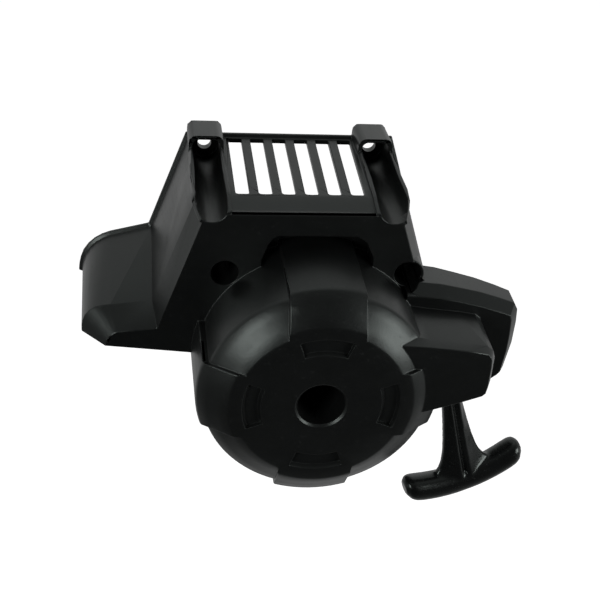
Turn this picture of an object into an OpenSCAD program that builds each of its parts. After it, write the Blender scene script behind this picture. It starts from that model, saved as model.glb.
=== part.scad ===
// Recoil starter with fan cover for a small two-stroke engine.
// Row frame: X to the rope outlet side, -Y out of the drum face, +Z up.
// The origin lies midway between the two lower mounting screws, in the plane of the mounting rim.
// Every module below works in the drum frame (Z along the drum axis, out of the face,
// Z = 0 in the rim plane, Y up); seat() turns that into the row frame.

/* [Housing] */
// Height of the drum face above the mounting rim
face_z = 118.5; // [117:0.5:121]
// Height of the flat front wall above the mounting rim
front_z = 72; // [70:0.5:74]
// Height of the crease where the front chamfer ends
crease_z = 60; // [58:0.5:62]
// Outer radius of the drum
drum_r = 56.5; // [56:0.5:58]
// Outer radius over the four lugs of the drum
lug_r = 59.5; // [59:0.5:61]
// Width of each lug
lug_w = 36.2; // [32:0.2:38]
// Radius of the flat drum face
face_r = 40.6; // [40:0.2:42]
// Radius of the blind hole in the middle of the face
hub_hole_r = 11.5; // [10.5:0.25:11.5]
// Wall thickness of the moulding
wall = 2.2; // [1.8:0.1:2.4]
// Width of the flange round the mounting rim
rim_w = 1.8; // [1.2:0.1:2.4]

/* [Cooling slots] */
// Number of slots in the top wall
slot_count = 6; // [3:1:6]
// Width of one slot
slot_w = 6.8; // [5:0.2:7.6]
// Distance from slot to slot
slot_pitch = 11.2; // [10.6:0.1:11.2]

/* [Mounting screws] */
// Half the distance between the two lower screws
screw_x = 45; // [44.5:0.25:45.5]
// Height of the two lower screws above the drum axis
screw_y = 45.5; // [45:0.25:46]
// Radius of the screw clearance holes
screw_r = 3; // [2.6:0.1:3.2]
// Radius of the screw-head wells
well_r = 6.7; // [6.2:0.1:6.8]
// Thickness of the seat under a screw head
seat_t = 4.5; // [3:0.5:6]

/* [Starter] */
// Diameter of the starter rope
rope_d = 3.2; // [3:0.1:3.4]
// Radius of the rope centre line on the reel
rope_r = 38.3; // [38.2:0.1:38.6]
// Outer radius of the reel flanges
reel_r = 47; // [44:0.5:50]
// Number of turns of the recoil spring
spring_turns = 7; // [5:1:8]
// Lean of the rope outlet from straight down
outlet_lean = 15; // [13:1:17]
// Turn of the grip about the rope
grip_turn = 11.5; // [0:0.5:20]
// Length of the grip bar
grip_w = 66; // [60:1:76]

/* [Hidden] */
black = "#1b1c1e";
steel = "#b9bcc0";
mid_x = -8.4;               // middle of the slot row
bend_z = face_z - 10;       // where the drum wall turns into the cone
in_z = face_z - 3.4;        // inside of the drum face
post_r = 12.9;              // axle post
post_end = 71.5;            // rear end of the axle post
rope_z = 87.5;              // middle of the rope groove
groove_w = 14;
horn_y = 81;                // axis of the upper screw wells
horn_x = [-52.4, 32.6];
horn_lean = [0, 2.2];        // lean of each upper well toward the outlet side
out_p = [70, -9.75];        // middle of the rope outlet
out_z = 88.1;

module seat() translate([0, 0, -screw_y]) rotate([90, 0, 0]) children();

// outward mitre offset of a counter-clockwise outline
function unit(v) = v / norm(v);
function nrm(a, b) = let (d = unit(b - a)) [d.y, -d.x];
function grow(p, d) = let (n = len(p)) [for (i = [0:n - 1])
  let (a = p[(i + n - 1) % n], b = p[i], c = p[(i + 1) % n], u = nrm(a, b), v = nrm(b, c))
  b + (u + v) * d / (1 + u * v)];
// solid through matching outlines at rising heights: [[z, outline], ...];
// the end faces fan out from point f, which sees the whole outline
module loft(lv, f = 0) {
  n = len(lv[0][1]);
  k = len(lv);
  polyhedron(
    points = [for (l = lv) for (q = l[1]) [q.x, q.y, l[0]]],
    faces = concat([for (i = [1:n - 2]) [f, (f + i) % n, (f + i + 1) % n]],
      [for (j = [0:k - 2]) for (i = [0:n - 1]) let (m = (i + 1) % n) [j * n + i, (j + 1) * n + i, (j + 1) * n + m]],
      [for (j = [0:k - 2]) for (i = [0:n - 1]) let (m = (i + 1) % n) [j * n + i, (j + 1) * n + m, j * n + m]],
      [for (i = [1:n - 2]) [(k - 1) * n + f, (k - 1) * n + (f + i + 1) % n, (k - 1) * n + (f + i) % n]]), convexity = 6);
}
// round tube along points, radius per point
function tang(p, i) = unit(p[min(i + 1, len(p) - 1)] - p[max(i - 1, 0)]);
module sweep(p, r, sides = 8, up = [0, 0, 1], flat = 1) {
  n = len(p);
  polyhedron(
    points = [for (i = [0:n - 1]) let (t = tang(p, i), s = unit(cross(t, up)), w = cross(t, s))
      for (j = [0:sides - 1]) p[i] + (is_list(r) ? r[i] : r) * (cos(360 * j / sides) * s + sin(360 * j / sides) * w * flat)],
    faces = concat([[for (j = [0:sides - 1]) j]],
      [for (i = [0:n - 2]) for (j = [0:sides - 1]) let (m = (j + 1) % sides) [i * sides + j, (i + 1) * sides + j, (i + 1) * sides + m]],
      [for (i = [0:n - 2]) for (j = [0:sides - 1]) let (m = (j + 1) % sides) [i * sides + j, (i + 1) * sides + m, i * sides + m]],
      [[for (j = [0:sides - 1]) (n - 1) * sides + sides - 1 - j]]), convexity = 10);
}

// ---- housing outlines, counter-clockwise from the wing's lower corner ----
body_front = [[-101.7, 3.2], [-57, -1.2], [57.5, -1.2], [56.5, 25.6], [38.6, 77.4], [-55.4, 77.4],
  [-76.7, 13.5], [-95.7, 11.5], [-97, 10.9], [-98.2, 10.1], [-99.3, 9.1], [-100.2, 8], [-100.9, 6.9], [-101.3, 5.9]];
body_crease = [[-113.6, 4.3], [-57, -1.2], [62, -1.2], [62.2, 22.7], [42.3, 81], [-59.1, 81],
  [-79, 22.7], [-99.6, 20], [-103.6, 19.4], [-107.2, 18.2], [-110, 16.3], [-112.1, 13.6], [-113.2, 10.4], [-113.6, 7.4]];
body_rim = [[-114.2, 4.4], [-57, -1.2], [62, -1.2], [61, 33], [43.7, 84.2], [-60.5, 84.2],
  [-78.2, 31.6], [-99.1, 26.2], [-103, 24.6], [-106.6, 22.3], [-109.6, 19.3], [-111.9, 15.8], [-113.3, 11.8], [-114, 8]];
// block beside the drum, open at the back
duct_front = [[44, -13], [90, -13.4], [93, -12.4], [96.6, -9.4], [98, -7.6], [99.4, 5.6], [99.4, 14.9], [99, 24],
  [98, 26.7], [92.1, 28.8], [81.4, 32.1], [70.9, 34.7], [60.4, 36.8], [50.2, 37.7], [44, 38]];
duct_crease = [[44, -16.6], [91, -17], [95, -16], [99.4, -12.4], [101.5, -8], [103.6, 6.6], [103.8, 19.5], [103.3, 26.4],
  [101.2, 30.2], [93.1, 33.2], [82.3, 36.6], [71.9, 39], [61.5, 41.2], [51.3, 42.1], [44, 42.4]];
duct_z = 80.5;
// block in front of it, over the rope outlet
exit_front = [[34, -12.2], [53.7, -6.8], [71.2, -1.2], [79, 1.6], [80.8, 3.4], [81.3, 7], [81.4, 18.5], [80.9, 23.8],
  [78.6, 26.5], [69.4, 28.3], [59.5, 29.5], [49.7, 30.6], [42.5, 31.1], [34, 31.6]];
exit_side = [[34, -13.6], [55, -8], [72, -2.6], [81.6, 0.8], [83.3, 3.2], [83.8, 7.6], [83.8, 21.6], [82.4, 25.4],
  [79.6, 27.6], [70.4, 29.2], [60.5, 30.4], [50.6, 31.6], [43.5, 33], [34, 34]];
exit_z = 114;

g_rim = grow(body_rim, rim_w);
body_lip = [for (i = [0:13]) i == 0 ? [g_rim[0].x, body_rim[0].y] : i < 3 ? body_rim[i] : g_rim[i]];
g_low = grow(body_rim, 0.05);
body_low = [for (i = [0:13]) i < 3 ? body_rim[i] : g_low[i]];

function drum_profile(rb, rf, zb) = [[0, 0], [rb + rim_w, 0], [rb + rim_w, 1.8], [rb, 3], [rb, zb - 2.6], [rb - 0.35, zb - 1.2], [rb - 1, zb],
  [rf + 1.2, face_z - 0.35], [rf, face_z], [0, face_z]];

module drum_outer() {
  rotate_extrude($fn = 180) polygon(drum_profile(drum_r, face_r, bend_z));
  intersection() {
    rotate_extrude($fn = 180) polygon(drum_profile(lug_r, face_r + 3.4, bend_z));
    union() {
      translate([-lug_w / 2, -80, 48]) cube([lug_w, 160, 80]);
      translate([-80, -lug_w / 2, 48]) cube([160, lug_w, 80]);
    }
  }
}
module drum_inner() rotate_extrude($fn = 180) polygon([[0, -1], [drum_r - wall, -1], [drum_r - wall, bend_z - 2],
  [drum_r - wall - 0.8, bend_z - 1], [face_r - 1.4, in_z], [0, in_z]]);

module horn_shape(k) translate([horn_x[k], 0, 0]) {
  // arched hood over the upper screw
  intersection() {
    translate([-20, 60, 0]) cube([40, 40, 18.5]);
    rotate([0, horn_lean[k], 0]) translate([0, 0, -2]) linear_extrude(24) union() {
      translate([-8.8, 72]) square([17.6, 16.3]);
      translate([-4.8, 84]) square([9.6, 8.3]);
      for (s = [-1, 1]) translate([4.8 * s, 88.3]) circle(4, $fn = 48);
    }
  }
}
// wall of an upper well
module horn_wall(k) translate([horn_x[k], 0, 0]) rotate([0, horn_lean[k], 0])
  translate([0, horn_y, -2]) cylinder(r1 = 8.8, r2 = 9.5, h = front_z + 4, $fn = 64);
module horn_cut(k) translate([horn_x[k], 0, 0]) {
  rotate([0, horn_lean[k], 0]) {
    translate([0, horn_y, seat_t]) cylinder(r1 = 6.8, r2 = 7.7, h = front_z - seat_t + 1, $fn = 64);
    translate([-6.8, horn_y, seat_t]) cube([13.6, 6.2, 80]);
    translate([-3.8, horn_y, seat_t]) cube([7.6, 9.2, 80]);
    for (s = [-1, 1]) translate([3.8 * s, horn_y + 6.2, seat_t]) cylinder(r = 3, h = 80, $fn = 32);
  }
  translate([0, horn_y + 1, -1]) cylinder(r = screw_r + 0.4, h = 10, $fn = 48);
}
// behind the slanted rear edge of the duct
module duct_rear() translate([0, 60, 0]) rotate([90, 0, 0]) linear_extrude(90)
  polygon([[40, 30], [120, 30], [120, 63.7], [40, 55.1]]);

module starter_housing() color(black) seat() difference() {
  union() {
    difference() {
      union() {
        loft([[0, body_lip], [1.6, body_lip], [2.8, body_low], [crease_z, body_crease], [front_z, body_front]], 6);
        drum_outer();
        difference() {
          loft([[50, duct_crease], [duct_z - 6.5, duct_crease], [duct_z, duct_front]]);
          duct_rear();
        }
        loft([[70.5, exit_side], [exit_z - 5.5, exit_side], [exit_z, exit_front]]);
        for (k = [0, 1]) horn_shape(k);
      }
      // hollow of the fan cover, left whole round the recess of the upper lug
      difference() {
        loft([[-1, grow(body_rim, -wall)], [crease_z - 1, grow(body_crease, -wall)], [front_z - wall, grow(body_front, -wall)]], 6);
        translate([-30, 46, crease_z - 4]) cube([59, 22.5, 40]);
      }
      drum_inner();
      loft([[56, grow(duct_crease, -wall)], [duct_z - 7.6, grow(duct_crease, -wall)], [duct_z - wall, grow(duct_front, -wall)]]);
      loft([[duct_z, grow(exit_side, -wall)], [exit_z - 6.6, grow(exit_side, -wall)], [exit_z - wall, grow(exit_front, -wall)]]);
    }
    // screw bosses, axle post and cassette bosses
    for (s = [-1, 1]) translate([s * screw_x, screw_y, 0]) cylinder(r = well_r + 1.4, h = front_z - 0.1, $fn = 64);
    intersection() {
      translate([screw_x, screw_y, 60]) cylinder(r = well_r + 1.4, h = duct_z - 60.1, $fn = 64);
      loft([[50, duct_crease], [duct_z - 6.5, duct_crease], [duct_z, duct_front]]);
    }
    intersection() {
      for (k = [0, 1]) horn_wall(k);
      loft([[0, grow(body_rim, 6.2)], [18, grow(body_crease, 5)], [crease_z, grow(body_crease, 1.4)], [front_z - 0.1, grow(body_front, 1.4)]], 6);
    }
    translate([0, 0, post_end]) cylinder(r = post_r, h = in_z + 1 - post_end, $fn = 96);
    for (a = [30, 150, 270]) rotate(a) translate([42.5, 0, 100.6]) cylinder(r = 3.4, h = 13, $fn = 48);
    // ribs inside the wing
    for (x = [-70, -88]) translate([x, 1, crease_z - 6]) cube([1.8, 16, 8]);
    // rope outlet boss
    translate([out_p.x, out_p.y, out_z]) rotate([0, 0, outlet_lean - 90]) rotate([0, 90, 0])
      translate([0, 0, -9.6]) cylinder(r = 8, h = 10.1, $fn = 64);
  }
  // recess round the upper lug
  difference() {
    translate([0, 0, crease_z - 1.5]) linear_extrude(20) polygon([[-27.4, 40], [-27.4, 53], [-25, 60.8], [-22.9, 64.6],
      [-20.4, 66.2], [18.1, 66.2], [22.8, 62.9], [26.7, 54.5], [26.7, 40]]);
    rotate_extrude($fn = 180) polygon([[0, 0], [drum_r, 0], [drum_r, 90], [0, 90]]);
    translate([-lug_w / 2, 0, 0]) intersection() {
      cube([lug_w, 80, 120]);
      translate([lug_w / 2, 0, 0]) cylinder(r = lug_r, h = 120, $fn = 180);
    }
  }
  // lower screws
  for (s = [-1, 1]) translate([s * screw_x, screw_y, 0]) {
    translate([0, 0, seat_t]) cylinder(r = well_r, h = 90, $fn = 64);
    translate([0, 0, -1]) cylinder(r = screw_r, h = 10, $fn = 48);
  }
  for (k = [0, 1]) horn_cut(k);
  // cooling slots
  for (i = [0:slot_count - 1]) translate([mid_x - 0.6 + (i - (slot_count - 1) / 2) * slot_pitch, 0, 0]) {
    translate([-slot_w / 2, 74, 3.5]) cube([slot_w, 16, 52.5]);
    translate([-slot_w / 2 + 1.5, 74, 3.5]) cube([slot_w - 3, 16, 54]);
    for (s = [-1, 1]) translate([s * (slot_w / 2 - 1.5), 74, 56]) rotate([-90, 0, 0]) cylinder(r = 1.5, h = 16, $fn = 32);
  }
  // blind hole in the face, screw bore of the post
  translate([0, 0, 84]) cylinder(r = hub_hole_r, h = 60, $fn = 96);
  translate([0, 0, face_z - 1.2]) cylinder(r1 = hub_hole_r, r2 = hub_hole_r + 1.3, h = 1.3, $fn = 96);
  translate([0, 0, post_end - 1]) cylinder(r = 2.55, h = 13, $fn = 48);
  for (a = [30, 150, 270]) rotate(a) translate([42.5, 0, 90]) cylinder(r = 1.3, h = 22, $fn = 32);
  // four pockets in the face
  for (a = [0:90:270]) rotate(a) translate([0, 0, face_z - 2.4]) rotate_extrude(angle = 40, start = 70, $fn = 180)
    polygon([[29.2, 2.4], [30.4, 0], [36.8, 0], [38, 2.4], [38.1, 4], [29.1, 4]]);
  // rope outlet bore
  translate([out_p.x, out_p.y, out_z]) rotate([0, 0, outlet_lean - 90]) rotate([0, 90, 0]) {
    translate([0, 0, -12]) cylinder(r = 5.05, h = 20, $fn = 64);
  }
}

// ---- starter parts, all round the drum axis ----
module axle_bush() color("#c8a25a") seat() translate([0, 0, 72]) difference() {
  cylinder(r = 14.4, h = 40, $fn = 96);
  translate([0, 0, -1]) cylinder(r = post_r + 0.02, h = 42, $fn = 96);
}
module rope_reel() color("#3b3d40") seat() difference() {
  union() {
    // hub with the spring hook sleeve
    translate([0, 0, 72]) cylinder(r = 17.5, h = 26, $fn = 96);
    translate([0, 0, 97]) cylinder(r = 16.6, h = 15.5, $fn = 96);
    // flanges and groove floor
    difference() {
      rotate_extrude($fn = 180) polygon([[17, 78], [reel_r - 1, 78], [reel_r, 79], [reel_r, 79.6], [36.2, rope_z - groove_w / 2],
        [36.2, rope_z + groove_w / 2], [reel_r, 95.4], [reel_r, 96], [reel_r - 1, 97], [17, 97]]);
      rotate_extrude($fn = 180) polygon([[17.4, 82], [33, 82], [33, 99], [17.4, 99]]);
    }
    for (a = [0:60:300]) rotate(a + 30) translate([16, -1, 80]) cube([18, 2, 15]);
    for (a = [0, 180]) rotate(a) translate([27, 0, 78]) cylinder(r = 5.2, h = 12, $fn = 48);
  }
  translate([0, 0, 71]) cylinder(r = 14.46, h = 50, $fn = 96);
  for (a = [0, 180]) rotate(a) translate([27, 0, 77]) cylinder(r = 2.5, h = 11, $fn = 48);
  // slot for the inner end of the spring
  translate([13.5, -0.4, 100]) cube([6, 1.3, 14]);
  // pocket for the knot and passage for the rope's inner end
  rotate(start_a) translate([29, 0, 78.9]) cylinder(r = 3.7, h = 9, $fn = 48);
  rotate(start_a) translate([30, 0, rope_z0]) rotate([0, 90, 0]) cylinder(r = 1.9, h = 8, $fn = 32);
}
end_a = 51.7;                              // where the rope leaves the reel
turns = 3.1;
start_a = end_a + 360 * turns;
rope_z0 = rope_z - 5.2;
rope_z1 = rope_z + 5.2;
function coil(i, n) = let (t = i / n, a = start_a + (end_a - start_a) * t)
  [rope_r * cos(a), rope_r * sin(a), rope_z0 + (rope_z1 - rope_z0) * t];
module rope_winding() color("#d8d6cf") seat() sweep([for (i = [0:74]) coil(i, 74)], rope_d / 2, 8);
module reel_knot() color("#d8d6cf") seat() rotate(start_a) translate([29, 0, rope_z0]) rotate([0, 90, 0]) rotate_extrude($fn = 48)
  polygon([[0, -3.2], [1.5, -2.8], [2.6, -1.9], [3.2, -0.6], [3.2, 0.6], [2.6, 1.9], [1.6, 2.7], [1.6, 7.45], [0, 7.45]]);
out_dir = [sin(outlet_lean), -cos(outlet_lean), 0];
out_q = [out_p.x, out_p.y, out_z];
run_end = out_q + out_dir * 3.2;
run_pts = [[rope_r * cos(end_a) + 0.5, rope_r * sin(end_a) - 0.36, rope_z1], [34, 23.4, 91.6], [44.5, 16.7, 90.5], [55, 10, 89.4],
  [62.3, 5.3, 88.6], [64.8, 3.5, 88.3], [66.4, 1.9, out_z], out_q - out_dir * 10, out_q - out_dir * 8,
  out_q - out_dir * 4, out_q, run_end];
module rope_run() color("#d8d6cf") seat() sweep(run_pts, rope_d / 2, 8);

module at_outlet() translate(out_q) rotate([0, 0, outlet_lean - 90]) rotate([0, 90, 0]) children();
module rope_eyelet() color(steel) seat() at_outlet() rotate_extrude($fn = 96)
  polygon([[2.3, -8.4], [2.9, -9.6], [4, -10], [5, -9.6], [5, 0.5], [6.6, 0.5], [6.8, 0.8], [6.8, 1.4], [6.4, 1.8], [3.2, 1.8], [2.3, 1]]);
module rope_tail() color("#d8d6cf") seat() at_outlet() translate([0, 0, 3.2]) cylinder(r = rope_d / 2, h = 57.2, $fn = 24);

// grip: z runs along the rope away from the outlet, x along the bar
module at_grip() at_outlet() rotate([0, 0, 90 - grip_turn]) children();
bar_c = 62;
bar_n = 18;
function bar_x(i) = (grip_w / 2) * sin(-90 + 180 * i / bar_n);
function bar_p(i) = let (x = bar_x(i)) [x, 0, bar_c - 6.8 * pow(x / 33, 2)];
function bar_r(i) = let (x = abs(bar_x(i)) / (grip_w / 2)) 7 * sqrt(max(0.3, 1 - pow(x, 20))) * (1 + 0.05 * x);
function soft(v) = sign(v) * pow(abs(v), 0.85);
module bar(sides = 20) polyhedron(
  points = [for (i = [0:bar_n]) for (j = [0:sides - 1]) bar_p(i) + bar_r(i) * [0, soft(cos(360 * j / sides)), soft(sin(360 * j / sides))]],
  faces = concat([[for (j = [0:sides - 1]) j]],
    [for (i = [0:bar_n - 1]) for (j = [0:sides - 1]) let (m = (j + 1) % sides) [i * sides + j, (i + 1) * sides + j, (i + 1) * sides + m]],
    [for (i = [0:bar_n - 1]) for (j = [0:sides - 1]) let (m = (j + 1) % sides) [i * sides + j, (i + 1) * sides + m, i * sides + m]],
    [[for (j = [sides - 1:-1:0]) bar_n * sides + j]]), convexity = 4);
// stem section: half width w, half thickness d, a flute down each face
function stem(w, d) = [[w, -1.4], [w, 1.4], [2.7, d], [1.7, d - 0.1], [0, 2.7], [-1.7, d - 0.1], [-2.7, d], [-w, 1.4],
  [-w, -1.4], [-2.7, -d], [-1.7, 0.1 - d], [0, -2.7], [1.7, 0.1 - d], [2.7, -d]];
module grip_handle() color("#101113") seat() at_grip() difference() {
  union() {
    bar();
    // stem
    loft([for (l = [[2, 5, 4.6], [12, 5.4, 4.7], [24, 6.6, 4.8], [34, 7.9, 5], [42, 9.3, 5.2], [47, 10.8, 5.4],
      [50.5, 12.6, 5.6], [53, 14.8, 5.8], [55, 17.6, 6], [57, 21, 6.2], [60, 21, 6.2]])
      [l[0], stem(l[1], l[2])]], 4);
  }
  // rope passage and knot pocket
  translate([0, 0, 1]) cylinder(r = 1.75, h = 62, $fn = 48);
  translate([0, 0, 59.2]) cylinder(r = 4.4, h = 20, $fn = 64);
}
module grip_knot() color("#d8d6cf") seat() at_grip() translate([0, 0, 64.1]) sphere(r = 3.7, $fn = 40);
module knot_washer() color(steel) seat() at_grip() translate([0, 0, 59.2]) difference() {
  cylinder(r = 4.3, h = 1.2, $fn = 64);
  translate([0, 0, -1]) cylinder(r = 1.75, h = 4, $fn = 48);
}

// spiral of flat strip
sp_r0 = 18.2;
sp_r1 = 34.6;
function sp_r(t) = sp_r0 + (sp_r1 - sp_r0) * t;
module recoil_spring() color("#8d9197") seat() translate([0, 0, 101]) linear_extrude(11.4) {
  n = 24 * spring_turns;
  polygon(concat([[14.8, 0.6], [14.8, -0.1], [18.9, -0.1]],
    [for (i = [1:n - 1]) let (t = i / n, a = 360 * spring_turns * t) [(sp_r(t) + 0.7) * cos(a), (sp_r(t) + 0.7) * sin(a)]],
    [[35.3, -0.7], [37.9, -0.7], [37.9, 0], [34.6, 0]],
    [for (i = [n - 1:-1:1]) let (t = i / n, a = 360 * spring_turns * t) [sp_r(t) * cos(a), sp_r(t) * sin(a)]],
    [[18.2, 0.6]]));
}
module spring_cassette() color("#2a2c2f") seat() {
  difference() {
    translate([0, 0, 98.5]) cylinder(r = 38.2, h = in_z - 98.5, $fn = 120);
    translate([0, 0, 97.5]) cylinder(r = 36.2, h = 15.8, $fn = 120);
    translate([0, 0, 100]) cylinder(r = 14.8, h = 30, $fn = 96);
    translate([35, -1, 98]) cube([6, 1.3, 16]);
  }
  for (a = [30, 150, 270]) rotate(a) difference() {
    translate([0, 0, 98.5]) linear_extrude(2) union() {
      translate([37.4, -3.6]) square([5, 7.2]);
      translate([42.5, 0]) circle(r = 3.6, $fn = 48);
    }
    translate([42.5, 0, 97]) cylinder(r = 1.7, h = 5, $fn = 32);
  }
}
module cassette_cover() color(steel) seat() translate([0, 0, 98.7]) difference() {
  cylinder(r = 36.1, h = 1.2, $fn = 120);
  translate([0, 0, -1]) cylinder(r = 18, h = 4, $fn = 96);
}
module cassette_screws() color(steel) seat() for (a = [30, 150, 270]) rotate(a) translate([42.5, 0, 0]) difference() {
  union() {
    translate([0, 0, 98.5]) cylinder(r = 1.25, h = 10, $fn = 32);
    translate([0, 0, 97.35]) cylinder(r1 = 2.4, r2 = 2.9, h = 1.15, $fn = 48);
  }
  for (q = [0, 90]) rotate(q) translate([-1.6, -0.35, 97]) cube([3.2, 0.7, 1]);
}
module thrust_washer() color(steel) seat() translate([0, 0, 112.55]) difference() {
  cylinder(r = 16.4, h = 0.7, $fn = 96);
  translate([0, 0, -1]) cylinder(r = post_r + 0.1, h = 3, $fn = 96);
}

// ratchet: two pawls on the rear flange
module pawl() translate([27, 0, 73.4]) difference() {
  union() {
    cylinder(r = 5, h = 4.4, $fn = 64);
    rotate(285) linear_extrude(4.4) polygon([[-1, -5], [8, -5.4], [15, -8.4], [17.6, -8.2], [17, -5], [9, -0.4], [0, 5]]);
    // peg the clip pushes on
    rotate(285) translate([6, -3.2, -3.4]) cylinder(r = 1.2, h = 3.6, $fn = 24);
  }
  translate([0, 0, -1]) cylinder(r = 2.55, h = 7, $fn = 48);
}
module pawl_a() color(steel) seat() pawl();
module pawl_b() color(steel) seat() rotate(180) pawl();
module pawl_pins() color("#d0d2d4") seat() for (a = [0, 180]) rotate(a) translate([27, 0, 0]) {
  translate([0, 0, 73]) cylinder(r = 2.5, h = 15, $fn = 48);
  translate([0, 0, 72]) cylinder(r = 3.6, h = 1, $fn = 48);
}
clip_z = 70.7;
function ear_r(t) = 24.95 - (t + 14.6) * 0.1417;
module friction_clip() color("#c9ccd0") seat() {
  // wire ring gripping the rim of the retaining washer, open at one side
  translate([0, 0, clip_z]) rotate_extrude(angle = 330, start = 70, $fn = 96) translate([17.75, 0]) circle(r = 0.7, $fn = 16);
  // two ears whose ramps push the pawl pegs outward
  for (a = [0, 180]) rotate(a) translate([0, 0, clip_z - 0.6]) linear_extrude(1.2) {
    polygon(concat([for (t = [-12:-2:-38]) ear_r(t) * [cos(t), sin(t)]],
      [for (t = [-38:2:-12]) (ear_r(t) - 1.5) * [cos(t), sin(t)]]));
    rotate(-37) translate([17.6, -1]) square([9, 2]);
  }
}
module retaining_washer() color(steel) seat() translate([0, 0, post_end - 1.6]) difference() {
  cylinder(r = 17, h = 1.6, $fn = 96);
  translate([0, 0, -1]) cylinder(r = 2.9, h = 4, $fn = 48);
}
module spring_washer() color("#8d9197") seat() translate([0, 0, post_end - 2.8]) difference() {
  cylinder(r = 4.9, h = 1.2, $fn = 64);
  translate([0, 0, -1]) cylinder(r = 2.8, h = 4, $fn = 48);
  translate([0, -0.5, -1]) cube([8, 1, 4]);
}
module retaining_screw() color(steel) seat() difference() {
  union() {
    translate([0, 0, post_end - 5.8]) cylinder(r1 = 4.4, r2 = 5, h = 3, $fn = 64);
    translate([0, 0, post_end - 3]) cylinder(r = 2.5, h = 14, $fn = 48);
  }
  translate([0, 0, post_end - 7]) linear_extrude(2.6) for (q = [0, 60, 120]) rotate(q) square([4.6, 1.5], center = true);
}

starter_housing();
axle_bush();
rope_reel();
recoil_spring();
spring_cassette();
cassette_cover();
cassette_screws();
thrust_washer();
rope_winding();
reel_knot();
rope_run();
rope_eyelet();
rope_tail();
grip_knot();
knot_washer();
grip_handle();
pawl_a();
pawl_b();
pawl_pins();
friction_clip();
retaining_washer();
spring_washer();
retaining_screw();
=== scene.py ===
import math

import bmesh
import bpy
from mathutils import Matrix, Vector
from mathutils.bvhtree import BVHTree


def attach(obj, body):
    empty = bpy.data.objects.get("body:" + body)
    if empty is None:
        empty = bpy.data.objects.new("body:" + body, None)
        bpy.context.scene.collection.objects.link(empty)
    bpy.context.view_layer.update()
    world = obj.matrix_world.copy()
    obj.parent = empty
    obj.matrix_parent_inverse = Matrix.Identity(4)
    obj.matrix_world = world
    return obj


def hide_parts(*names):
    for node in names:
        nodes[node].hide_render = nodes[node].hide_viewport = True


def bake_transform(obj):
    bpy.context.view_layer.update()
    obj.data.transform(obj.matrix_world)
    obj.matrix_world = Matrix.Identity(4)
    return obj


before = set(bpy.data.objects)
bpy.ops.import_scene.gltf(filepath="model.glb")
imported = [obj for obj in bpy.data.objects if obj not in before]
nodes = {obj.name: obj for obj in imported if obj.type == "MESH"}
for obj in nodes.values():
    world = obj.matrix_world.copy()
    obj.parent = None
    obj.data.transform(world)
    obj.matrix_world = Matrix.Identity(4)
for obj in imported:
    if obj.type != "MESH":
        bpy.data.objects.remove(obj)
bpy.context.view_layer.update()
scene = bpy.context.scene


def mm(x, y, z):
    """Drum frame in millimetres (Z out of the face, Y up) to the row frame in metres."""
    return Vector((x / 1000, -z / 1000, (y - 45.5) / 1000))


# ---------------------------------------------------------------- materials
def tree(name):
    m = bpy.data.materials.new(name)
    m.use_nodes = True
    t = m.node_tree
    return m, t, t.nodes["Principled BSDF"]


def add(t, kind, **values):
    n = t.nodes.new(kind)
    for k, v in values.items():
        if hasattr(n, k):
            setattr(n, k, v)
        else:
            n.inputs[k.replace("_", " ")].default_value = v
    return n


def noise(t, coord, scale, detail=4.0, rough=0.55, stretch=None):
    n = add(t, "ShaderNodeTexNoise")
    n.inputs["Scale"].default_value = scale
    n.inputs["Detail"].default_value = detail
    n.inputs["Roughness"].default_value = rough
    if stretch is None:
        t.links.new(coord, n.inputs["Vector"])
    else:
        mp = add(t, "ShaderNodeMapping")
        mp.inputs["Scale"].default_value = stretch
        t.links.new(coord, mp.inputs["Vector"])
        t.links.new(mp.outputs["Vector"], n.inputs["Vector"])
    return n.outputs["Fac"]


def ramp(t, fac, stops):
    r = add(t, "ShaderNodeValToRGB")
    e = r.color_ramp.elements
    while len(e) > 1:
        e.remove(e[-1])
    e[0].position, c = stops[0][0], stops[0][1]
    e[0].color = (*c, 1) if hasattr(c, "__len__") else (c, c, c, 1)
    for p, c in stops[1:]:
        k = e.new(p)
        k.color = (*c, 1) if hasattr(c, "__len__") else (c, c, c, 1)
    t.links.new(fac, r.inputs["Fac"])
    return r.outputs["Color"]


def mixc(t, fac, a, b, mode="MIX"):
    n = add(t, "ShaderNodeMix", data_type="RGBA", blend_type=mode)
    for s, v in ((0, fac), (6, a), (7, b)):
        if isinstance(v, (int, float)):
            n.inputs[s].default_value = v
        elif isinstance(v, tuple):
            n.inputs[s].default_value = (*v, 1)
        else:
            t.links.new(v, n.inputs[s])
    return n.outputs[2]


def math_(t, op, a, b=0.0, c=None):
    n = add(t, "ShaderNodeMath", operation=op)
    for s, v in enumerate((a, b) if c is None else (a, b, c)):
        if isinstance(v, (int, float)):
            n.inputs[s].default_value = v
        else:
            t.links.new(v, n.inputs[s])
    return n.outputs[0]


def bump(t, height, strength, distance, normal=None):
    n = add(t, "ShaderNodeBump")
    n.inputs["Strength"].default_value = strength
    n.inputs["Distance"].default_value = distance
    t.links.new(height, n.inputs["Height"])
    if normal is not None:
        t.links.new(normal, n.inputs["Normal"])
    return n.outputs["Normal"]


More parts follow.
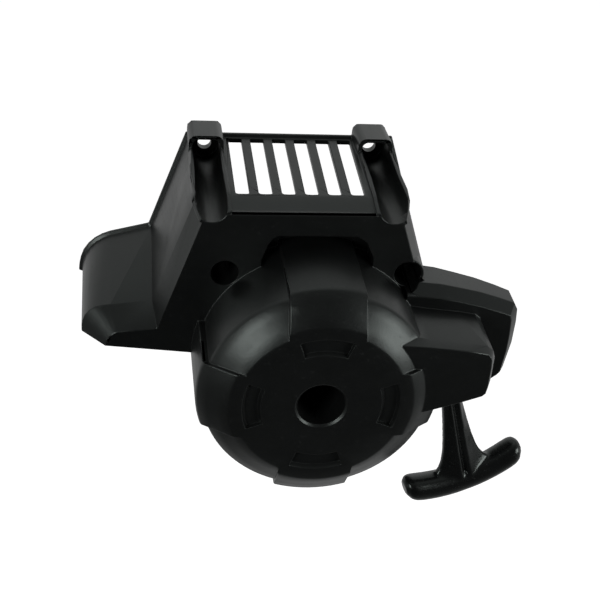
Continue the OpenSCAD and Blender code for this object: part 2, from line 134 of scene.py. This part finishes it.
def moulded(name, dark, light, rough=(0.38, 0.5), grain=1500.0, depth=0.00004, scuff=0.5, flow=90.0):
    """Injection-moulded plastic: fine spark texture, faint flow marks, dust and handling scuffs."""
    m, t, p = tree(name)
    co = add(t, "ShaderNodeTexCoord").outputs["Object"]
    fine = noise(t, co, grain, 3.0, 0.6)
    cloud = noise(t, co, flow * 0.35, 5.0, 0.6)
    streak = noise(t, co, flow, 4.0, 0.65, (1.0, 0.35, 1.7))
    speck = noise(t, co, 620.0, 2.0, 0.5)
    dust = ramp(t, speck, [(0.0, 0.0), (0.66, 0.0), (0.72, 1.0)])
    dusty = math_(t, "MULTIPLY", dust, math_(t, "MULTIPLY", cloud, 0.22 * scuff))
    base = mixc(t, ramp(t, streak, [(0.3, 0.0), (0.75, 1.0)]), dark, light)
    base = mixc(t, dusty, base, tuple(min(1.0, c * 5 + 0.03) for c in light))
    t.links.new(base, p.inputs["Base Color"])
    r = math_(t, "MULTIPLY_ADD", cloud, rough[1] - rough[0], rough[0])
    scr = noise(t, co, 260.0, 6.0, 0.7, (1.0, 0.08, 1.0))
    r = math_(t, "ADD", r, math_(t, "MULTIPLY", ramp(t, scr, [(0.55, 0.0), (0.7, 1.0)]), 0.1 * scuff))
    r = math_(t, "ADD", r, math_(t, "MULTIPLY", dust, 0.12))
    t.links.new(r, p.inputs["Roughness"])
    n1 = bump(t, fine, 0.5, depth)
    n2 = bump(t, streak, 0.35, 0.00022, n1)
    t.links.new(n2, p.inputs["Normal"])
    p.inputs["IOR"].default_value = 1.5
    p.inputs["Specular Tint"].default_value = (0.9, 1.0, 0.955, 1.0)
    return m


def steel(name, dark, light, rough=(0.24, 0.42), around=None, line=900.0, metal=1.0):
    """Worked metal: turning or rolling lines, cloudy plating and small stains."""
    m, t, p = tree(name)
    co = add(t, "ShaderNodeTexCoord").outputs["Object"]
    cloud = noise(t, co, 160.0, 5.0, 0.6)
    if around is None:
        lines = noise(t, co, line, 3.0, 0.6, (0.05, 1.0, 1.0))
    else:
        mp = add(t, "ShaderNodeMapping")
        mp.inputs["Location"].default_value = (-around[0], -around[1], -around[2])
        t.links.new(co, mp.inputs["Vector"])
        sep = add(t, "ShaderNodeSeparateXYZ")
        t.links.new(mp.outputs["Vector"], sep.inputs[0])
        x2 = math_(t, "POWER", math_(t, "ABSOLUTE", sep.outputs[0]), 2.0)
        z2 = math_(t, "POWER", math_(t, "ABSOLUTE", sep.outputs[2]), 2.0)
        rad = math_(t, "SQRT", math_(t, "ADD", x2, z2))
        com = add(t, "ShaderNodeCombineXYZ")
        t.links.new(rad, com.inputs[0])
        t.links.new(sep.outputs[1], com.inputs[1])
        lines = noise(t, com.outputs[0], line, 3.0, 0.6)
    t.links.new(mixc(t, ramp(t, math_(t, "ADD", math_(t, "MULTIPLY", cloud, 0.6), math_(t, "MULTIPLY", lines, 0.4)),
                             [(0.3, 0.0), (0.7, 1.0)]), dark, light), p.inputs["Base Color"])
    t.links.new(math_(t, "MULTIPLY_ADD", lines, rough[1] - rough[0], rough[0]), p.inputs["Roughness"])
    t.links.new(bump(t, lines, 0.25, 0.00002), p.inputs["Normal"])
    p.inputs["Metallic"].default_value = metal
    return m


def braid(name, dark, light, pitch=1.0):
    """Braided cord: crossing strands seen along and around the rope, fuzzy and slightly soiled; the strands carry
    painted shade, lighter on their crowns and darker in the grooves between them.
    """
    m, t, p = tree(name)
    co = add(t, "ShaderNodeTexCoord").outputs["Object"]
    cells = add(t, "ShaderNodeTexVoronoi", feature="F1")
    cells.inputs["Scale"].default_value = 900.0
    mp = add(t, "ShaderNodeMapping")
    mp.inputs["Rotation"].default_value = (0.4, 0.6, 0.785)
    mp.inputs["Scale"].default_value = (1.0, 0.55, 0.8)
    t.links.new(co, mp.inputs["Vector"])
    t.links.new(mp.outputs["Vector"], cells.inputs["Vector"])
    fuzz = noise(t, co, 2600.0, 3.0, 0.7)
    soil = noise(t, co, 60.0, 4.0, 0.6)
    # painted shade: the strand mask also raises the bump, so the colour is light on the strand crowns and dark in the
    # grooves between strands; the soil mix below is real dirt
    strand = ramp(t, cells.outputs["Distance"], [(0.1, 1.0), (0.62, 0.0)])
    base = mixc(t, strand, dark, light)
    base = mixc(t, math_(t, "MULTIPLY", soil, 0.45), base, tuple(c * 0.45 for c in dark))
    t.links.new(base, p.inputs["Base Color"])
    p.inputs["Roughness"].default_value = 0.82
    p.inputs["Sheen Weight"].default_value = 0.25
    h = math_(t, "ADD", math_(t, "MULTIPLY", strand, 0.8), math_(t, "MULTIPLY", fuzz, 0.25))
    t.links.new(bump(t, h, 0.8, 0.0002), p.inputs["Normal"])
    return m


AXIS = mm(0, 0, 0)
housing_mat = moulded("housing_black", (0.0048, 0.0051, 0.0051), (0.0068, 0.0073, 0.0073), (0.3, 0.4))
grip_mat = moulded("grip_black", (0.0045, 0.0048, 0.0048), (0.0065, 0.007, 0.007), (0.2, 0.29), grain=2400.0, depth=0.000015, scuff=0.8)
reel_mat = moulded("reel_grey", (0.028, 0.029, 0.031), (0.04, 0.041, 0.044), (0.42, 0.55), grain=1300.0)
cassette_mat = moulded("cassette_black", (0.014, 0.0145, 0.0155), (0.022, 0.0225, 0.024), (0.4, 0.52), grain=1300.0)
zinc = steel("zinc_plate", (0.48, 0.49, 0.5), (0.7, 0.71, 0.72), (0.22, 0.4), around=AXIS)
zinc_flat = steel("zinc_rolled", (0.48, 0.49, 0.51), (0.68, 0.69, 0.7), (0.24, 0.42))
spring_mat = steel("spring_blue_steel", (0.2, 0.21, 0.23), (0.34, 0.35, 0.38), (0.26, 0.4), line=1400.0)
pawl_mat = steel("pawl_steel", (0.3, 0.3, 0.31), (0.5, 0.5, 0.51), (0.3, 0.48), line=700.0)
brass_mat = steel("bush_brass", (0.5, 0.33, 0.12), (0.75, 0.54, 0.24), (0.2, 0.36), around=AXIS)
rope_mat = braid("rope_braid", (0.42, 0.4, 0.34), (0.72, 0.69, 0.62))

LOOK = {
    "axle_bush": brass_mat, "rope_reel": reel_mat, "recoil_spring": spring_mat, "spring_cassette": cassette_mat,
    "cassette_cover": zinc, "cassette_screws": zinc_flat, "thrust_washer": zinc, "rope_eyelet": zinc_flat,
    "knot_washer": zinc_flat, "pawl_a": pawl_mat, "pawl_b": pawl_mat, "pawl_pins": zinc_flat,
    "friction_clip": spring_mat, "retaining_washer": zinc, "spring_washer": spring_mat, "retaining_screw": zinc,
    "starter_housing": housing_mat, "grip_handle": grip_mat, "rope_winding": rope_mat, "reel_knot": rope_mat,
    "rope_run": rope_mat, "rope_tail": rope_mat, "grip_knot": rope_mat,
}
for n, o in nodes.items():
    o.data.materials.clear()
    o.data.materials.append(LOOK[n])


# ---------------------------------------------------------------- detailed pieces
def copy_of(node, name, weld=2e-6, sharp=32.0, soft_edge=None):
    """The node's own surface, welded and with smooth faces between its edges, ready for rounding them."""
    me = nodes[node].data.copy()
    me.name = name
    if "custom_normal" in me.attributes:
        me.attributes.remove(me.attributes["custom_normal"])
    bm = bmesh.new()
    bm.from_mesh(me)
    bmesh.ops.remove_doubles(bm, verts=bm.verts, dist=weld)
    bmesh.ops.recalc_face_normals(bm, faces=bm.faces)
    for f in bm.faces:
        f.smooth = True
    for e in bm.edges:
        e.smooth = len(e.link_faces) == 2 and e.calc_face_angle(0) < math.radians(sharp)
    if soft_edge is not None:
        w = bm.edges.layers.float.get("bevel_weight_edge") or bm.edges.layers.float.new("bevel_weight_edge")
        for e in bm.edges:
            e[w] = 0.0 if e.smooth else soft_edge(e)
    bm.to_mesh(me)
    bm.free()
    o = bpy.data.objects.new(name, me)
    scene.collection.objects.link(o)
    return o


def bake(o):
    """Applies the modifiers, so that the shown mesh is final."""
    bpy.context.view_layer.update()
    dg = bpy.context.evaluated_depsgraph_get()
    me = bpy.data.meshes.new_from_object(o.evaluated_get(dg))
    o.modifiers.clear()
    o.data = me
    return o


def rounded(node, name, width, segments=2, **kw):
    o = copy_of(node, name, **kw)
    skin = BVHTree.FromPolygons([v.co.copy() for v in o.data.vertices], [tuple(f.vertices) for f in o.data.polygons])
    b = o.modifiers.new("round", "BEVEL")
    b.width = width
    b.segments = segments
    b.limit_method = "WEIGHT"
    b.use_clamp_overlap = False
    b.harden_normals = True
    b.miter_outer = "MITER_ARC"
    o = bake(o)
    # a corner that was thrown off the surface goes back to it
    for v in o.data.vertices:
        p, _, _, d = skin.find_nearest(v.co)
        if p is not None and d > 0.0003:
            v.co = p
    return o


def finish_piece(o, node, body, mat):
    o.data.materials.clear()
    o.data.materials.append(mat)
    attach(o, body)
    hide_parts(node)
    return o


def housing_edge(e):
    """Share of the full rounding that an edge of the housing gets: most on the sides of the four lugs."""
    q = [(v.co.x * 1000, v.co.z * 1000 + 45.5, -v.co.y * 1000) for v in e.verts]
    short = min(1.0, (e.verts[0].co - e.verts[1].co).length / 0.0011)
    if all(z > 46 and (abs(abs(x) - 18.1) < 0.3 or abs(abs(y) - 18.1) < 0.3) and 39 < math.hypot(x, y) < 60.5 for x, y, z in q):
        return short
    if all(z > 115.5 and math.hypot(x, y) < 39.5 for x, y, z in q):
        return 0.55 * short
    return 0.78 * short


house = rounded("starter_housing", "housing_moulding", 0.00058, 3, sharp=28.0, soft_edge=housing_edge)
finish_piece(house, "starter_housing", "housing", housing_mat)

# grip: the moulded T with its corners run together
grip = copy_of("grip_handle", "grip_moulding", sharp=180.0)
r = grip.modifiers.new("even", "REMESH")
r.mode = "VOXEL"
r.voxel_size = 0.0006
s = grip.modifiers.new("soften", "SMOOTH")
s.factor = 0.5
s.iterations = 12
grip = bake(grip)
for f in grip.data.polygons:
    f.use_smooth = True
finish_piece(grip, "grip_handle", "grip", grip_mat)


# rope: real braided pieces along the same routes
def tube(name, points, radius, sides=16, closed_ends=True):
    bm = bmesh.new()
    rings = []
    up = Vector((0, 1, 0))
    for i, p in enumerate(points):
        d = (points[min(i + 1, len(points) - 1)] - points[max(i - 1, 0)]).normalized()
        a = d.cross(up)
        if a.length < 1e-3:
            a = d.cross(Vector((1, 0, 0)))
        a.normalize()
        b = d.cross(a)
        rings.append([bm.verts.new(p + radius * (math.cos(2 * math.pi * j / sides) * a + math.sin(2 * math.pi * j / sides) * b))
                      for j in range(sides)])
    for r0, r1 in zip(rings, rings[1:]):
        for j in range(sides):
            f = bm.faces.new((r0[j], r0[(j + 1) % sides], r1[(j + 1) % sides], r1[j]))
            f.smooth = True
    if closed_ends:
        bm.faces.new(rings[0][::-1])
        bm.faces.new(rings[-1])
    bmesh.ops.recalc_face_normals(bm, faces=bm.faces)
    me = bpy.data.meshes.new(name)
    bm.to_mesh(me)
    bm.free()
    o = bpy.data.objects.new(name, me)
    scene.collection.objects.link(o)
    return o


END_A, TURNS, ROPE_R = 51.7, 3.1, 38.3
START_A = END_A + 360 * TURNS
Z0, Z1 = 82.3, 92.7
pts = []
for i in range(361):
    u = i / 360
    a = math.radians(START_A + (END_A - START_A) * u)
    pts.append(mm(ROPE_R * math.cos(a), ROPE_R * math.sin(a), Z0 + (Z1 - Z0) * u))
wind = tube("rope_wound", pts, 0.00158, 12)
finish_piece(wind, "rope_winding", "reel", rope_mat)

lean = math.radians(15)
OUT = mm(70, -9.75, 88.1)
ALONG = Vector((math.sin(lean), 0, -math.cos(lean)))
tail_pts = [OUT + ALONG * (0.0032 + 0.0571 * i / 60) for i in range(61)]
tail = tube("rope_free", tail_pts, 0.0016, 16)
tail.data.materials.append(rope_mat)
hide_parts("rope_tail")
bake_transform(tail)


# ---------------------------------------------------------------- stage, light, camera
def plain(name, color, emit=0.0, rough=0.9):
    m, t, p = tree(name)
    p.inputs["Base Color"].default_value = (*color, 1)
    p.inputs["Roughness"].default_value = rough
    p.inputs["Emission Color"].default_value = (1, 1, 1, 1)
    p.inputs["Emission Strength"].default_value = emit
    return m


def only_seen(o):
    o.visible_diffuse = False
    o.visible_glossy = False
    o.visible_transmission = False
    o.visible_shadow = False


bm = bmesh.new()
bmesh.ops.create_circle(bm, cap_ends=True, segments=96, radius=14.0)
me = bpy.data.meshes.new("floor")
bm.to_mesh(me)
bm.free()
floor = bpy.data.objects.new("floor", me)
scene.collection.objects.link(floor)
floor.location = (0, 0, -0.95)
floor.data.materials.append(plain("floor_pale", (0.9, 0.9, 0.9), 0.75))
bm = bmesh.new()
bmesh.ops.create_uvsphere(bm, u_segments=48, v_segments=24, radius=13.5)
me = bpy.data.meshes.new("backdrop")
bm.to_mesh(me)
bm.free()
dome = bpy.data.objects.new("backdrop", me)
scene.collection.objects.link(dome)
dome.data.materials.append(plain("backdrop_pale", (0.0, 0.0, 0.0), 1.0))
for o in (floor, dome):
    only_seen(o)

world = bpy.data.worlds.new("studio")
scene.world = world
world.use_nodes = True
t = world.node_tree
bg = t.nodes["Background"]
co = add(t, "ShaderNodeTexCoord").outputs["Generated"]
sep = add(t, "ShaderNodeSeparateXYZ")
t.links.new(co, sep.inputs[0])
lvl = math_(t, "MULTIPLY_ADD", sep.outputs[1], 0.5, 0.5)
# below and to the left the room is darker than the bench behind
low = math_(t, "MULTIPLY", ramp(t, math_(t, "MULTIPLY_ADD", sep.outputs[2], -0.5, 0.5), [(0.5, 0.0), (0.72, 1.0)]),
            ramp(t, lvl, [(0.45, 1.0), (0.75, 0.0)]))
low = math_(t, "MULTIPLY", low, ramp(t, math_(t, "MULTIPLY_ADD", sep.outputs[0], -0.5, 0.5), [(0.45, 0.0), (0.7, 1.0)]))
col = ramp(t, lvl, [(0.0, 0.006), (0.08, 0.012), (0.14, 0.03), (0.25, 0.1), (0.4, 0.3), (0.55, 0.44), (0.8, 0.52), (1.0, 0.58)])
col = mixc(t, math_(t, "MULTIPLY", low, 0.75), col, (0.01, 0.01, 0.01))
high = ramp(t, math_(t, "MULTIPLY_ADD", sep.outputs[2], 0.5, 0.5), [(0.58, 0.0), (0.74, 1.0)])
col = mixc(t, math_(t, "MULTIPLY", high, 0.16), col, (0.01, 0.01, 0.01))
t.links.new(col, bg.inputs["Color"])
bg.inputs["Strength"].default_value = 1.0

AIM = Vector((0.0, -0.07, -0.02))


def softbox(name, direction, distance, size, radiance, spread=math.pi):
    d = Vector(direction).normalized()
    L = bpy.data.lights.new(name, "AREA")
    L.shape = "RECTANGLE"
    L.size, L.size_y = size
    L.energy = radiance * math.pi * size[0] * size[1]
    L.spread = spread
    o = bpy.data.objects.new(name, L)
    scene.collection.objects.link(o)
    o.location = AIM + d * distance
    o.rotation_euler = (-d).to_track_quat("-Z", "Y").to_euler()
    o.visible_camera = False
    return o


softbox("soft_right", (0.83, -0.53, 0.18), 1.1, (0.42, 0.6), 6.5)
softbox("soft_left", (-0.68, -0.68, 0.26), 1.1, (0.36, 0.62), 7.2)
softbox("soft_top", (0.0, 0.35, 1.0), 1.2, (1.0, 0.7), 0.25)
softbox("soft_back", (0.15, 0.95, 0.35), 1.4, (1.2, 0.8), 0.3)

cam_data = bpy.data.cameras.new("camera")
cam = bpy.data.objects.new("camera", cam_data)
scene.collection.objects.link(cam)
cam_data.sensor_fit = "HORIZONTAL"
cam_data.sensor_width = 36.0
cam_data.lens = 79.98
cam_data.clip_start = 0.01
cam_data.clip_end = 60.0
R = Matrix(((0.99009342, -0.00255484, -0.14038691),
            (-0.11708215, 0.53686522, -0.83550434),
            (0.07750343, 0.84366415, 0.5312476)))
cam.matrix_world = Matrix.Translation((-0.0991, -0.61879, 0.33252)) @ R.to_4x4()
scene.camera = cam
scene.view_settings.view_transform = "Standard"
scene.view_settings.look = "None"
scene.view_settings.exposure = 0.0
scene.view_settings.gamma = 1.0
